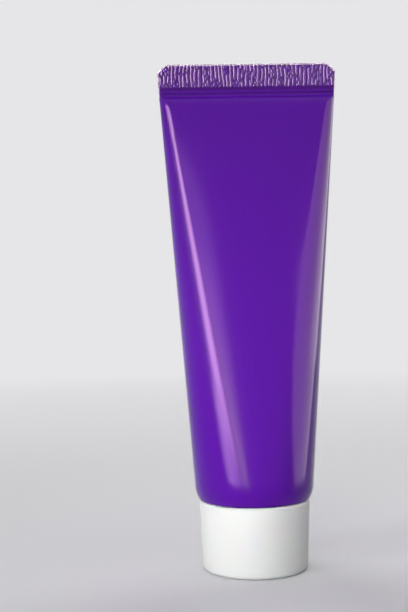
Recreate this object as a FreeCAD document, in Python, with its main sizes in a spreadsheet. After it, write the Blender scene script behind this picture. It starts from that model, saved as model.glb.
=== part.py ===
# A squeeze tube that stands upside down on its wide screw cap.
# Millimetres, +Z up. The origin is the centre of the cap's resting face.
# X runs along the flat seal at the top, and the front of the tube faces -Y.
import FreeCAD
import Part

import math
import os
import re

import Sketcher

DOCUMENT = FreeCAD.newDocument("squeeze_tube")

# Driving sizes. Heights are along Z, and each name says what it measures.
SIZES = {
    # sleeve
    "tube_diameter": 34.9,
    "sleeve_wall": 0.5,
    "sleeve_length": 113.8,
    "foot_round_height": 4.2,
    "foot_inset": 1.1,
    "face_crown_angle": 9.0,
    # heat seal at the tail
    "seal_gather": 0.057,
    "seal_flare": 0.6,
    "seal_lumen": 0.1,
    "seal_band_height": 2.8,
    "seal_thickness": 0.8,
    "seal_corner_width": 2.6,
    "seal_corner_drop": 2.1,
    "seal_corner_round": 5.0,
    "rib_band_height": 6.9,
    "rib_pitch": 1.15,
    "rib_crest": 0.5,
    "rib_relief": 0.22,
    # screw cap
    "cap_height": 20.3,
    "cap_step": 1.3,
    "cap_taper": 0.75,
    "cap_foot_round": 1.3,
    "cap_rim_bevel": 0.7,
    "cap_skirt_wall": 1.2,
    "cap_end_wall": 1.4,
    "cap_collar_wall": 1.5,
    "cap_collar_drop": 2.1,
    "cap_seat_height": 4.9,
    "cap_seat_width": 2.2,
    "cap_rib_count": 6.0,
    "cap_rib_wall": 0.9,
    "cap_rib_drop": 4.1,
    "cap_rib_bury": 0.3,
    # thread between cap and neck
    "thread_lead": 3.0,
    "thread_reach": 1.0,
    "thread_root": 1.6,
    "thread_crest": 0.8,
    "thread_clearance": 0.3,
    "thread_bury": 0.2,
    "neck_thread_start": 1.8,
    "neck_thread_stop": 3.4,
    "cap_thread_stop": 2.2,
    # nozzle and shoulder
    "seam_gap": 0.4,
    "shoulder_rise": 2.1,
    "shoulder_wall": 1.2,
    "neck_diameter": 12.8,
    "neck_wall": 1.4,
    "orifice_diameter": 6.8,
    "orifice_wall": 1.2,
    # liner and membrane
    "liner_thickness": 1.2,
    "liner_clearance": 0.4,
    "foil_thickness": 0.2,
    "foil_margin": 0.2,
    "foil_tab_margin": 0.4,
}

# The number of sections that the sleeve is lofted through, and the crown angle in
# degrees that is left in the last of them.
SLEEVE_SECTIONS = 19
SEAL_CROWN_ANGLE = 0.12

# How late the full tube closes: the faces lose their crown with the first power of the
# share of the way to the seal, and the girth is gathered with the second.
CROWN_POWER = 4
GATHER_POWER = 60

# Side view of the smooth band under the ribs, from its lower edge up: the share of its
# height, and whether the face stands out there. Two grooves lie between.
BAND_STEPS = (
    (0.0, True),
    (0.14, True),
    (0.24, False),
    (0.38, False),
    (0.48, True),
    (0.6, True),
    (0.72, False),
    (1.0, False),
)


def make_sheet():
    """Fill the spreadsheet with the driving sizes, one alias a row."""
    sheet = DOCUMENT.addObject("Spreadsheet::Sheet", "Sizes")
    for row, (name, value) in enumerate(SIZES.items(), start=1):
        sheet.set("A%d" % row, name)
        sheet.set("B%d" % row, str(value))
        sheet.setAlias("B%d" % row, name)
    DOCUMENT.recompute()
    return sheet


SHEET = make_sheet()


def size(expression):
    """Value in millimetres of an expression of size names."""
    return float(SHEET.evalExpression(expression))


def bound(expression):
    """The same expression as another object of the document writes it."""
    return re.sub(r"\b([a-z]+_[a-z_]+)\b", r"Sizes.\1", expression)


# Radii and heights worked out from the driving sizes, as expressions.
TUBE_RADIUS = "(tube_diameter / 2)"
INNER_RADIUS = "(tube_diameter / 2 - sleeve_wall)"
EDGE_RADIUS = "(tube_diameter / 2 - foot_inset)"
INNER_EDGE_RADIUS = "(tube_diameter / 2 - foot_inset - sleeve_wall)"
FOOT_ROUND = "((foot_inset ^ 2 + foot_round_height ^ 2) / (2 * foot_inset))"
SEAL_LOW_HALF = "(pi / 4 * tube_diameter * (1 - seal_gather))"
SEAL_TOP_HALF = "(%s + seal_flare)" % SEAL_LOW_HALF
SEAL_EDGE_HALF = "(sleeve_wall + seal_lumen)"
RIM_RADIUS = "(tube_diameter / 2 - cap_step)"
CAP_FOOT_RADIUS = "(%s - cap_taper)" % RIM_RADIUS
NECK_RADIUS = "(neck_diameter / 2)"
BORE_RADIUS = "(neck_diameter / 2 - neck_wall)"
ORIFICE_RADIUS = "(orifice_diameter / 2)"
COLLAR_RADIUS = "(neck_diameter / 2 + thread_reach + thread_clearance)"
COLLAR_OUTER = "(%s + cap_collar_wall)" % COLLAR_RADIUS
SEAT_RADIUS = "(%s - cap_seat_width)" % COLLAR_RADIUS
FOIL_RADIUS = "(neck_diameter / 2 - foil_margin)"
FOIL_TAB_RADIUS = "(%s - foil_tab_margin)" % FOIL_RADIUS

SLEEVE_EDGE = "(cap_height + seam_gap)"
FOOT_TOP = "(%s + foot_round_height)" % SLEEVE_EDGE
SEAL_LOW = "(%s + sleeve_length)" % FOOT_TOP
RIBS_LOW = "(%s + seal_band_height)" % SEAL_LOW
SEAL_TOP = "(%s + rib_band_height)" % RIBS_LOW
FOIL_LOW = "(cap_seat_height + liner_thickness + foil_thickness)"
TIP = "(%s + foil_thickness)" % FOIL_LOW
NECK_ROOT = "(%s - shoulder_rise)" % SLEEVE_EDGE
COLLAR_TOP = "(%s - cap_collar_drop)" % NECK_ROOT
NECK_THREAD_LOW = "(%s + neck_thread_start)" % TIP
NECK_THREAD_HEIGHT = "(%s - neck_thread_stop - %s)" % (NECK_ROOT, NECK_THREAD_LOW)
CAP_THREAD_LOW = "(%s + thread_lead / 2)" % NECK_THREAD_LOW
CAP_THREAD_HEIGHT = "(%s - cap_thread_stop - %s)" % (COLLAR_TOP, CAP_THREAD_LOW)

# Inside of the shoulder, neck and orifice, from the sleeve down to the tip.
INSIDE_PROFILE = [
    ("(%s - shoulder_wall)" % INNER_RADIUS, FOOT_TOP),
    ("(%s - shoulder_wall)" % INNER_EDGE_RADIUS, "%s + shoulder_wall" % SLEEVE_EDGE),
    (BORE_RADIUS, "%s + shoulder_wall" % NECK_ROOT),
    (BORE_RADIUS, "%s + orifice_wall" % TIP),
    (ORIFICE_RADIUS, "%s + orifice_wall" % TIP),
    (ORIFICE_RADIUS, TIP),
]


def new_body(label):
    """An empty body whose label is the piece's name."""
    body = DOCUMENT.addObject("PartDesign::Body", label)
    body.Label = label
    return body


def new_sketch(body, name, role, height="0"):
    """A sketch on one of the body's own origin planes, raised by height."""
    sketch = body.newObject("Sketcher::SketchObject", name)
    plane = [item for item in body.Origin.OriginFeatures if item.Role == role][0]
    sketch.AttachmentSupport = [(plane, "")]
    sketch.MapMode = "FlatFace"
    if height != "0":
        sketch.setExpression("AttachmentOffset.Base.z", bound(height))
    return sketch


def arc_between(start, end, radius):
    """Arc between two points that turns left for a radius over zero, else right."""
    middle = (start + end) * 0.5
    chord = end - start
    across = FreeCAD.Vector(-chord.y, chord.x, 0).normalize()
    reach = math.sqrt(radius * radius - chord.Length * chord.Length / 4)
    side = 1 if radius > 0 else -1
    centre = middle + across * reach * side
    first, last = (start, end) if radius > 0 else (end, start)
    circle = Part.Circle(centre, FreeCAD.Vector(0, 0, 1), abs(radius))
    angles = [math.atan2(point.y - centre.y, point.x - centre.x) for point in (first, last)]
    return Part.ArcOfCircle(circle, angles[0], angles[1])


def hold(sketch, expression, *constraint):
    """Add a constraint whose value follows an expression of size names."""
    index = sketch.addConstraint(Sketcher.Constraint(*constraint, abs(size(expression))))
    sketch.setExpression("Constraints[%d]" % index, bound(expression))


def place_point(sketch, edge, end, x, y):
    """Hold one end of an edge at x and y, given as expressions."""
    for kind, expression in (("DistanceX", x), ("DistanceY", y)):
        value = size(expression)
        place = (-1, 1, edge, end, value)
        index = sketch.addConstraint(Sketcher.Constraint(kind, *place))
        sketch.setExpression("Constraints[%d]" % index, bound(expression))


def draw_profile(sketch, points, arcs=None):
    """Closed outline through points given as pairs of expressions.

    arcs maps the number of an edge to the expression of its radius, over zero
    where the outline turns left and under zero where it turns right.
    """
    arcs = arcs or {}
    corners = [FreeCAD.Vector(size(x), size(y), 0) for x, y in points]
    ends = []
    for number, start in enumerate(corners):
        end = corners[(number + 1) % len(corners)]
        radius = size(arcs.get(number, "0"))
        if radius:
            sketch.addGeometry(arc_between(start, end, radius), False)
        else:
            sketch.addGeometry(Part.LineSegment(start, end), False)
        ends.append((2, 1) if radius < 0 else (1, 2))
    for number in range(len(corners)):
        following = (number + 1) % len(corners)
        joint = (number, ends[number][1], following, ends[following][0])
        sketch.addConstraint(Sketcher.Constraint("Coincident", *joint))
    for number, (x, y) in enumerate(points):
        place_point(sketch, number, ends[number][0], x, y)
    for number, expression in arcs.items():
        hold(sketch, "abs(%s)" % expression, "Radius", number)


def turn(body, name, points, arcs=None):
    """Solid of revolution about Z of a profile of radii and heights."""
    sketch = new_sketch(body, name + "_profile", "XZ_Plane")
    draw_profile(sketch, points, arcs)
    DOCUMENT.recompute()
    feature = body.newObject("PartDesign::Revolution", name)
    feature.Profile = sketch
    feature.ReferenceAxis = (sketch, ["V_Axis"])
    feature.Angle = 360
    DOCUMENT.recompute()
    return feature


def add_thread(body, name, root_radius, crest_radius, low, height):
    """Right-hand ridge of trapezoid section, from root to crest radius.

    low is the height of the middle of the ridge where it starts, and height is how
    far it climbs.
    """
    sketch = new_sketch(body, name + "_section", "XZ_Plane")
    points = [
        (root_radius, "%s - thread_root / 2" % low),
        (crest_radius, "%s - thread_crest / 2" % low),
        (crest_radius, "%s + thread_crest / 2" % low),
        (root_radius, "%s + thread_root / 2" % low),
    ]
    draw_profile(sketch, points)
    DOCUMENT.recompute()
    ridge = body.newObject("PartDesign::AdditiveHelix", name)
    ridge.Profile = sketch
    ridge.ReferenceAxis = (sketch, ["V_Axis"])
    ridge.Mode = 0
    ridge.setExpression("Pitch", bound("thread_lead"))
    ridge.setExpression("Height", bound(height))
    ridge.LeftHanded = False
    ridge.Reversed = False
    DOCUMENT.recompute()
    return ridge


def add_cap_ribs(body):
    """Upright ribs that join the cap's threaded collar to its skirt."""
    floor = "(cap_end_wall - cap_rib_bury)"
    sketch = new_sketch(body, "cap_rib_section", "XY_Plane", floor)
    inner = "(%s - cap_rib_bury)" % COLLAR_OUTER
    outer = "(%s - cap_skirt_wall)" % RIM_RADIUS
    points = [
        (inner, "0 - cap_rib_wall / 2"),
        (outer, "0 - cap_rib_wall / 2"),
        (outer, "cap_rib_wall / 2"),
        (inner, "cap_rib_wall / 2"),
    ]
    draw_profile(sketch, points)
    DOCUMENT.recompute()
    rib = body.newObject("PartDesign::Pad", "cap_rib")
    rib.Profile = sketch
    rib.setExpression("Length", bound("%s - cap_rib_drop - %s" % (COLLAR_TOP, floor)))
    DOCUMENT.recompute()
    ring = body.newObject("PartDesign::PolarPattern", "cap_ribs")
    ring.Originals = [rib]
    ring.Axis = (sketch, ["N_Axis"])
    ring.Angle = 360
    ring.setExpression("Occurrences", bound("cap_rib_count"))
    body.Tip = ring


def make_cap():
    """Cap with a smooth tapered skirt, a threaded collar and ribs between them."""
    body = new_body("screw_cap")
    points = [
        ("0", "0"),
        ("%s - cap_foot_round" % CAP_FOOT_RADIUS, "0"),
        (CAP_FOOT_RADIUS, "cap_foot_round"),
        (RIM_RADIUS, "cap_height - cap_rim_bevel"),
        ("%s - cap_rim_bevel / 2" % RIM_RADIUS, "cap_height"),
        ("%s - cap_skirt_wall" % RIM_RADIUS, "cap_height"),
        ("%s - cap_skirt_wall" % CAP_FOOT_RADIUS, "cap_end_wall"),
        (COLLAR_OUTER, "cap_end_wall"),
        (COLLAR_OUTER, COLLAR_TOP),
        (COLLAR_RADIUS, COLLAR_TOP),
        (COLLAR_RADIUS, "cap_seat_height"),
        (SEAT_RADIUS, "cap_seat_height"),
        (SEAT_RADIUS, "cap_end_wall"),
        ("0", "cap_end_wall"),
    ]
    turn(body, "cap_shell", points, {1: "cap_foot_round"})
    root = "%s + thread_bury" % COLLAR_RADIUS
    crest = "%s + thread_clearance" % NECK_RADIUS
    add_thread(body, "cap_thread", root, crest, CAP_THREAD_LOW, CAP_THREAD_HEIGHT)
    add_cap_ribs(body)
    return body


def make_nozzle():
    """Shoulder cone, neck and orifice in one, with the outside thread."""
    body = new_body("shoulder_nozzle")
    points = [
        (NECK_RADIUS, TIP),
        (NECK_RADIUS, NECK_ROOT),
        (INNER_EDGE_RADIUS, SLEEVE_EDGE),
        (INNER_RADIUS, FOOT_TOP),
    ]
    turn(body, "nozzle_shell", points + INSIDE_PROFILE, {2: FOOT_ROUND})
    root = "%s - thread_bury" % NECK_RADIUS
    crest = "%s + thread_reach" % NECK_RADIUS
    add_thread(body, "neck_thread", root, crest, NECK_THREAD_LOW, NECK_THREAD_HEIGHT)
    return body


def make_foil():
    """Peel-off membrane on the nozzle's tip, with a half-round tab under it."""
    body = new_body("foil_seal")
    points = [("0", FOIL_LOW), (FOIL_RADIUS, FOIL_LOW), (FOIL_RADIUS, TIP), ("0", TIP)]
    turn(body, "foil_disc", points)
    sketch = new_sketch(body, "foil_tab_outline", "XY_Plane", "%s - foil_thickness" % FOIL_LOW)
    # The straight edge runs through the middle, and the half round lies towards +X.
    points = [("0", "0 - %s" % FOIL_TAB_RADIUS), (FOIL_TAB_RADIUS, "0"), ("0", FOIL_TAB_RADIUS)]
    draw_profile(sketch, points, {0: FOIL_TAB_RADIUS, 1: FOIL_TAB_RADIUS})
    DOCUMENT.recompute()
    tab = body.newObject("PartDesign::Pad", "foil_tab")
    tab.Profile = sketch
    tab.setExpression("Length", bound("foil_thickness"))
    return body


def make_liner():
    """Foam disc that lies on the seat ring inside the cap."""
    liner = DOCUMENT.addObject("Part::Cylinder", "cap_liner")
    liner.setExpression("Radius", bound("%s - liner_clearance" % COLLAR_RADIUS))
    liner.setExpression("Height", bound("liner_thickness"))
    liner.setExpression("Placement.Base.z", bound("cap_seat_height"))
    return liner


def oval_section(share, wall):
    """Oval of four tangent arcs at a share of the way from the foot to the seal.

    The half width grows in a straight line. The girth stays as it is at the foot
    until just under the seal, where the laminate is gathered. The end arcs and the
    face arcs meet at an angle that shrinks as the faces flatten. wall is taken off
    all round.
    """
    foot = size(TUBE_RADIUS)
    seal = size(SEAL_LOW_HALF)
    edge = size(SEAL_EDGE_HALF)
    half_width = foot + (seal - foot) * share
    angle = math.radians(size("face_crown_angle") * (1 - share ** CROWN_POWER) + SEAL_CROWN_ANGLE)
    girth_foot = 2 * math.pi * foot
    girth_seal = 2 * math.pi * edge + 4 * (seal - edge)
    girth = girth_foot + (girth_seal - girth_foot) * share ** GATHER_POWER
    excess = 2 * math.pi * half_width - girth
    spread = excess / (2 * math.pi * math.sin(angle) - 4 * angle)
    centre = spread * math.sin(angle)
    end_radius = half_width - centre - wall
    crown = end_radius + spread * (1 - math.cos(angle))
    x = centre + end_radius * math.sin(angle)
    y = end_radius * math.cos(angle)
    end = half_width - wall
    level = size(FOOT_TOP) + size("sleeve_length") * share
    around = [(x, -y), (end, 0), (x, y), (0, crown), (-x, y), (-end, 0), (-x, -y), (0, -crown)]
    places = [FreeCAD.Vector(across, out, level) for across, out in around]
    edges = []
    for number in range(0, len(places), 2):
        last = places[(number + 2) % len(places)]
        edges.append(Part.Arc(places[number], places[number + 1], last).toShape())
    return Part.Wire(edges)


def loft_sleeve(name, wall):
    """Loft through the sleeve's sections, with wall taken off each.

    The sections lie closer together towards the seal, by a square law.
    """
    sections = []
    for number in range(SLEEVE_SECTIONS):
        share = 1 - (1 - number / (SLEEVE_SECTIONS - 1)) ** 2
        section = DOCUMENT.addObject("Part::Feature", "%s_section_%d" % (name, number))
        section.Shape = oval_section(share, wall)
        sections.append(section)
    loft = DOCUMENT.addObject("Part::Loft", name)
    loft.Sections = sections
    loft.Solid = True
    loft.Ruled = False
    return loft


def foot_ring():
    """Lower end of the sleeve, turned in over the shoulder."""
    body = new_body("sleeve_foot")
    points = [
        (INNER_EDGE_RADIUS, SLEEVE_EDGE),
        (EDGE_RADIUS, SLEEVE_EDGE),
        (TUBE_RADIUS, FOOT_TOP),
        (INNER_RADIUS, FOOT_TOP),
    ]
    turn(body, "foot_wall", points, {1: FOOT_ROUND, 3: "0 - %s" % FOOT_ROUND})
    return body


def seal_outline():
    """Block of the seal's outline seen from the front, deeper than the seal."""
    body = new_body("seal_outline")
    sketch = new_sketch(body, "seal_outline_sketch", "XZ_Plane")
    shoulder = "%s - seal_corner_drop" % SEAL_TOP
    points = [
        ("0 - %s" % SEAL_LOW_HALF, SEAL_LOW),
        (SEAL_LOW_HALF, SEAL_LOW),
        (SEAL_TOP_HALF, shoulder),
        ("%s - seal_corner_width" % SEAL_TOP_HALF, SEAL_TOP),
        ("seal_corner_width - %s" % SEAL_TOP_HALF, SEAL_TOP),
        ("0 - %s" % SEAL_TOP_HALF, shoulder),
    ]
    draw_profile(sketch, points, {2: "seal_corner_round", 4: "seal_corner_round"})
    DOCUMENT.recompute()
    block = body.newObject("PartDesign::Pad", "seal_block")
    block.Profile = sketch
    block.Midplane = True
    block.setExpression("Length", bound(TUBE_RADIUS))
    return body


def extrude_outline(name, corners, travel):
    """Solid made by moving a closed outline of corners along travel."""
    wire = Part.makePolygon(corners + corners[:1])
    feature = DOCUMENT.addObject("Part::Feature", name)
    feature.Shape = Part.Face(wire).extrude(travel)
    return feature


def smooth_band():
    """Lower part of the seal: two grooves with a ridge between, along X."""
    low = size(SEAL_LOW)
    height = size("seal_band_height")
    raised = size(SEAL_EDGE_HALF)
    pressed = size("seal_thickness") / 2
    side = [(raised if out else pressed, low + share * height) for share, out in BAND_STEPS]
    outline = side + [(-depth, level) for depth, level in reversed(side)]
    reach = size(SEAL_TOP_HALF)
    corners = [FreeCAD.Vector(-reach, depth, level) for depth, level in outline]
    return extrude_outline("smooth_band", corners, FreeCAD.Vector(2 * reach, 0, 0))


def ribbed_band():
    """Upper part of the seal: a plate with upright ribs pressed in both faces."""
    pitch = size("rib_pitch")
    valley = size("seal_thickness") / 2
    crest = valley + size("rib_relief")
    flat = size("rib_crest") / 2
    foot = (pitch - flat) / 2
    count = 2 * math.ceil(size(SEAL_TOP_HALF) / pitch) + 1
    side = []
    for number in range(count):
        middle = pitch * (number - (count - 1) / 2)
        side += [(middle - foot, valley), (middle - flat, crest)]
        side += [(middle + flat, crest), (middle + foot, valley)]
    outline = side + [(x, -depth) for x, depth in reversed(side)]
    corners = [FreeCAD.Vector(x, depth, size(RIBS_LOW)) for x, depth in outline]
    rise = FreeCAD.Vector(0, 0, size("rib_band_height"))
    return extrude_outline("ribbed_band", corners, rise)


def combine(kind, label, *shapes):
    """Boolean of two or more shapes: kind is Cut, Fuse, MultiFuse or Common."""
    feature = DOCUMENT.addObject("Part::" + kind, label)
    if kind == "MultiFuse":
        feature.Shapes = list(shapes)
    else:
        feature.Base, feature.Tool = shapes
    return feature


def make_sleeve(inside):
    """Laminate sleeve: turned-in foot, round to flat wall and heat-sealed tail."""
    wall = combine("Cut", "sleeve_tube", loft_sleeve("sleeve_outside", 0.0), inside)
    bands = combine("Fuse", "seal_bands", smooth_band(), ribbed_band())
    tail = combine("Common", "seal_tail", bands, seal_outline())
    return combine("MultiFuse", "tube_sleeve", foot_ring(), wall, tail)


def make_paste(inside):
    """The contents, which fill the sleeve, the shoulder and the neck."""
    body = new_body("paste_in_neck")
    points = [("0", TIP)] + list(reversed(INSIDE_PROFILE)) + [("0", FOOT_TOP)]
    turn(body, "neck_filling", points)
    return combine("Fuse", "toothpaste", inside, body)


def write_parts(pieces):
    """Check the whole document and each piece, then write one file a piece."""
    DOCUMENT.recompute()
    for item in DOCUMENT.Objects:
        if "Invalid" in item.State or "Error" in item.State:
            raise RuntimeError("%s failed: %s" % (item.Label, item.State))
    for piece in pieces:
        shape = piece.Shape
        if shape.isNull() or not shape.isValid() or not shape.Solids:
            raise RuntimeError("%s has no valid solid" % piece.Label)
    os.makedirs("parts", exist_ok=True)
    for piece in pieces:
        piece.Shape.exportStep("parts/%s.step" % piece.Label)
        count = len(piece.Shape.Solids)
        print("%s: %d solid, %.1f mm3" % (piece.Label, count, piece.Shape.Volume))


def main():
    """Build every piece and write it."""
    inside = loft_sleeve("sleeve_inside", size("sleeve_wall"))
    pieces = [
        make_sleeve(inside),
        make_nozzle(),
        make_foil(),
        make_paste(inside),
        make_liner(),
        make_cap(),
    ]
    write_parts(pieces)


main()
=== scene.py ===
# The looks of a squeeze tube that stands on its wide screw cap, made round its packed
# frame. Lengths are in metres unless a name says otherwise. +Z is up, the front faces -Y,
# and X runs along the flat seal at the tail.
import logging
import math
from dataclasses import dataclass
from enum import Enum

import bpy
import numpy as np
from mathutils import Matrix, Vector


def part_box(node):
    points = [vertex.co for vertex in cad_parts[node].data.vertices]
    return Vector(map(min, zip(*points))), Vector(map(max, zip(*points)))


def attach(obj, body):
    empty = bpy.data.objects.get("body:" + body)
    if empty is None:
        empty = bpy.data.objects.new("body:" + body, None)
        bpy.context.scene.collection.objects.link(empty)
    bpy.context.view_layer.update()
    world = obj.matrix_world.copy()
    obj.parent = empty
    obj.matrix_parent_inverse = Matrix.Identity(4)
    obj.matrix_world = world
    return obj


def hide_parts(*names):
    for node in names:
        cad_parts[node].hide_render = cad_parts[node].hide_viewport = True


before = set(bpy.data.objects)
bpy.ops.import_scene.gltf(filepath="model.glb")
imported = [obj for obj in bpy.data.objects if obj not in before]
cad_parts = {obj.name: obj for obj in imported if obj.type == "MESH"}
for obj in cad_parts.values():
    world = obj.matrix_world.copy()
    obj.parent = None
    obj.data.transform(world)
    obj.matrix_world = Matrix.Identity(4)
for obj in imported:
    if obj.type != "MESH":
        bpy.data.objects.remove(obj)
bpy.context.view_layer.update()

MM = 0.001
# Pale film colour along the seal's top and ends: partly the film's cut edge, partly a painted
# highlight.
CUT_EDGE_AND_HIGHLIGHT = "cut_edge_and_highlight"
# Painted shade: the seal's grooves and rib valleys get a darker film colour.
PAINTED_GROOVE_SHADE = "painted_groove_shade"
POLISHED = "polished"
LOG = logging.getLogger("tube")

# Points of shape (n, 3), and blocks of faces, each with one row of vertex numbers a face.
Shape = tuple[np.ndarray, list[np.ndarray]]


def linear(code: str) -> tuple[float, float, float, float]:
    """Turn an sRGB hex colour into linear red, green, blue and alpha.

    Args:
        code: six hex digits, such as "5a14a0".

    Returns:
        Four floats for a colour socket.
    """
    values = [int(code[place:place + 2], 16) / 255 for place in (0, 2, 4)]
    plain = [v / 12.92 if v <= 0.04045 else ((v + 0.055) / 1.055) ** 2.4 for v in values]
    return (plain[0], plain[1], plain[2], 1.0)


def add_node(tree: bpy.types.NodeTree, kind: str, settings: dict | None = None,
             sockets: dict | None = None, links: dict | None = None) -> bpy.types.Node:
    """Add one shader node with its settings, socket values and incoming links.

    Args:
        tree: the node tree that takes the node.
        kind: the node's type name, without its ShaderNode prefix.
        settings: attributes of the node, by name.
        sockets: values of unlinked inputs, by name or number.
        links: output sockets to link, by the input's name or number.

    Returns:
        The new node.
    """
    node = tree.nodes.new("ShaderNode" + kind)
    for name, value in (settings or {}).items():
        setattr(node, name, value)
    for name, value in (sockets or {}).items():
        node.inputs[name].default_value = value
    for name, source in (links or {}).items():
        tree.links.new(source, node.inputs[name])
    return node


def new_material(name: str) -> tuple[bpy.types.Material, bpy.types.NodeTree]:
    """Make an empty node material.

    Args:
        name: the material's name.

    Returns:
        The material and its node tree.
    """
    material = bpy.data.materials.new(name)
    material.use_nodes = True
    material.node_tree.nodes.clear()
    return material, material.node_tree


@dataclass(frozen=True)
class Finish:
    """A material whose patterns lie in the object's own space."""

    name: str
    colour: str
    roughness: float

    def shader(self, tree: bpy.types.NodeTree, place: bpy.types.NodeSocket) -> bpy.types.Node:
        """Make the surface shader, which every kind of finish does in its own way."""
        raise NotImplementedError

    def relief(self, tree: bpy.types.NodeTree, place: bpy.types.NodeSocket, size_mm: float,
               depth_mm: float) -> bpy.types.NodeSocket:
        """Give the skin a fine noise for its relief.

        Args:
            tree: the material's node tree.
            place: socket of the point in the object's own space.
            size_mm: length of one swell of the noise.
            depth_mm: height of the relief.

        Returns:
            Socket of the normal that the relief leaves.
        """
        grain = add_node(tree, "TexNoise", sockets={"Scale": 1 / (size_mm * MM), "Detail": 3.0},
                         links={"Vector": place})
        bump = add_node(tree, "Bump", sockets={"Strength": 1.0, "Distance": depth_mm * MM},
                        links={"Height": grain.outputs["Fac"]})
        return bump.outputs[0]

    def uneven(self, tree: bpy.types.NodeTree, pattern: bpy.types.NodeSocket,
               drift: float) -> bpy.types.NodeSocket:
        """Let the roughness drift with a pattern, by a share of itself either way."""
        low, high = self.roughness * (1 - drift), self.roughness * (1 + drift)
        return add_node(tree, "MapRange", sockets={"To Min": low, "To Max": high},
                        links={"Value": pattern}).outputs[0]

    def build(self) -> bpy.types.Material:
        """Make the material and link its shader to its output.

        Returns:
            The material.
        """
        material, tree = new_material(self.name)
        place = add_node(tree, "TexCoord").outputs["Object"]
        shader = self.shader(tree, place)
        add_node(tree, "OutputMaterial", links={"Surface": shader.outputs[0]})
        return material


@dataclass(frozen=True)
class Coloured(Finish):
    """A material coloured right through, such as moulded plastic, foam or paste."""

    tint: str
    ior: float
    grain_mm: float
    grain_depth_mm: float
    cloud_mm: float
    drift: float = 0.08
    subsurface: float = 0.0
    subsurface_mm: float = 1.0

    def shader(self, tree: bpy.types.NodeTree, place: bpy.types.NodeSocket) -> bpy.types.Node:
        """Make the shader.

        The colour drifts slowly between colour and tint over cloud_mm, the roughness
        drifts with it, and a fine noise of grain_mm gives the skin its relief.

        Args:
            tree: the material's node tree.
            place: socket of the point in the object's own space.

        Returns:
            The shader's node.
        """
        cloud = add_node(tree, "TexNoise", sockets={"Scale": 1 / (self.cloud_mm * MM), "Detail": 2.0},
                         links={"Vector": place}).outputs["Fac"]
        colour = add_node(tree, "Mix", {"data_type": "RGBA"},
                          {6: linear(self.colour), 7: linear(self.tint)}, {0: cloud})
        return add_node(tree, "BsdfPrincipled",
                        sockets={"IOR": self.ior, "Subsurface Weight": self.subsurface,
                                 "Subsurface Scale": self.subsurface_mm * MM},
                        links={"Base Color": colour.outputs[2],
                               "Roughness": self.uneven(tree, cloud, self.drift),
                               "Normal": self.relief(tree, place, self.grain_mm, self.grain_depth_mm)})


@dataclass(frozen=True)
class Laminate(Finish):
    """A coloured film under a clear semi-gloss skin, with painted shade in the seal's grooves and a
    pale cut edge that is partly a painted highlight.
    """

    painted_groove_shade_colour: str
    cut_edge_and_highlight_colour: str
    sheen: str
    ior: float
    gloss: float
    wave_mm: float
    wave_depth_mm: float

    def shader(self, tree: bpy.types.NodeTree, place: bpy.types.NodeSocket) -> bpy.types.Node:
        """Make the shader.

        The sleeve's own attributes say where painted shade darkens the seal's grooves and rib
        valleys, where the pale cut edge, partly a painted highlight, shows, and where the jaws
        polished it. A noise of wave_mm gives a faint orange peel.

        Args:
            tree: the material's node tree.
            place: socket of the point in the object's own space.

        Returns:
            The shader's node.
        """
        painted_groove_shade, cut_and_highlight, polished = (add_node(tree, "Attribute", {"attribute_name": name}).outputs["Fac"]
                                  for name in (PAINTED_GROOVE_SHADE, CUT_EDGE_AND_HIGHLIGHT, POLISHED))
        # The film darkens to painted shade in the grooves, then pales at the cut edge, which is partly
        # a painted highlight.
        film = add_node(tree, "Mix", {"data_type": "RGBA"},
                        {6: linear(self.colour), 7: linear(self.painted_groove_shade_colour)}, {0: painted_groove_shade})
        colour = add_node(tree, "Mix", {"data_type": "RGBA"}, {7: linear(self.cut_edge_and_highlight_colour)},
                          {0: cut_and_highlight, 6: film.outputs[2]})
        return add_node(tree, "BsdfPrincipled",
                        sockets={"IOR": self.ior, "Roughness": self.roughness,
                                 "Specular IOR Level": self.gloss,
                                 "Specular Tint": linear(self.sheen),
                                 "Coat Roughness": self.roughness},
                        links={"Base Color": colour.outputs[2], "Coat Weight": polished,
                               "Normal": self.relief(tree, place, self.wave_mm, self.wave_depth_mm)})


@dataclass(frozen=True)
class LacqueredFoil(Finish):
    """Thin aluminium foil with a clear lacquer: a metal with fine rolling lines."""

    line_mm: float
    line_stretch: float = 40.0
    drift: float = 0.3

    def shader(self, tree: bpy.types.NodeTree, place: bpy.types.NodeSocket) -> bpy.types.Node:
        """Make the shader: rolling lines along X give the metal its streaked gloss.

        Args:
            tree: the material's node tree.
            place: socket of the point in the object's own space.

        Returns:
            The shader's node.
        """
        across = 1 / (self.line_mm * MM)
        stretch = add_node(tree, "Mapping", links={"Vector": place},
                           sockets={"Scale": (across / self.line_stretch, across, across)})
        lines = add_node(tree, "TexNoise", sockets={"Scale": 1.0, "Detail": 2.0},
                         links={"Vector": stretch.outputs[0]})
        return add_node(tree, "BsdfPrincipled",
                        sockets={"Base Color": linear(self.colour), "Metallic": 1.0},
                        links={"Roughness": self.uneven(tree, lines.outputs["Fac"], self.drift)})


# Extruded polyethylene laminate, coloured in its core under a clear skin: a semi-gloss
# whose lights are soft at the edge and rosy, with a faint waviness of a few millimetres.
# Its darker purple is painted shade in the seal's grooves; its pale pink is the cut edge and a painted
# highlight.
LAMINATE = Laminate("PurpleLaminate", "590aa5", 0.13, painted_groove_shade_colour="4a0886", cut_edge_and_highlight_colour="f4def9",
                    sheen="ffc4e6", ior=1.5, gloss=0.3, wave_mm=2.6, wave_depth_mm=0.003)
# Injection-moulded high-density polyethylene in the same purple: a little more matt.
SHOULDER = Coloured("PurplePolyethylene", "4f1194", 0.38, tint="561699", ior=1.5, grain_mm=0.5,
                    grain_depth_mm=0.006, cloud_mm=8.0)
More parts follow.
